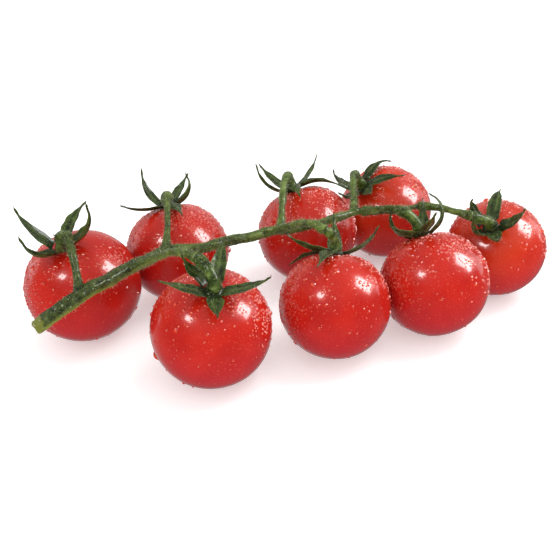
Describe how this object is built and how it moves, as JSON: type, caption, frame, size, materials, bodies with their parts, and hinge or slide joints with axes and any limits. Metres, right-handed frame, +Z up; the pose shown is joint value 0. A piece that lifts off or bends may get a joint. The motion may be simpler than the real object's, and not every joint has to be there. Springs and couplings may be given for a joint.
{
  "type": "truss of tomatoes",
  "caption": "Vine truss of small round ripe tomatoes on one green stem, each with its stalk and calyx, picked whole and lying on a flat surface.",
  "frame": {"origin": "middle of the footprint, on the surface that the fruits rest on", "axes": "+Z up; +X along the main stem from its cut end to its last fruit; +Y across the truss, towards the back row of fruits"},
  "size_m": [0.159, 0.0858, 0.0435],
  "materials": {
    "ripe_skin": "glossy wet ripe red skin with fine water droplets",
    "stem_green": "fine-haired mid green stem with lighter yellow-green patches and a cut end",
    "stalk_green": "fine-haired mid green stalk",
    "sepal_green": "matte dark green leaf-like sepals with lighter edges and dry brown tips"
  },
  "bodies": {
    "root": {"main_stem": "stem_green", "tomato_1": "ripe_skin", "calyx_1": "sepal_green", "upper_stalk_1": "stalk_green", "tomato_2": "ripe_skin", "calyx_2": "sepal_green", "upper_stalk_2": "stalk_green", "tomato_3": "ripe_skin", "calyx_3": "sepal_green", "upper_stalk_3": "stalk_green", "tomato_4": "ripe_skin", "calyx_4": "sepal_green", "upper_stalk_4": "stalk_green", "tomato_5": "ripe_skin", "calyx_5": "sepal_green", "upper_stalk_5": "stalk_green", "tomato_6": "ripe_skin", "calyx_6": "sepal_green", "upper_stalk_6": "stalk_green", "tomato_7": "ripe_skin", "calyx_7": "sepal_green", "upper_stalk_7": "stalk_green", "tomato_8": "ripe_skin", "calyx_8": "sepal_green", "upper_stalk_8": "stalk_green"}
  },
  "joints": []
}
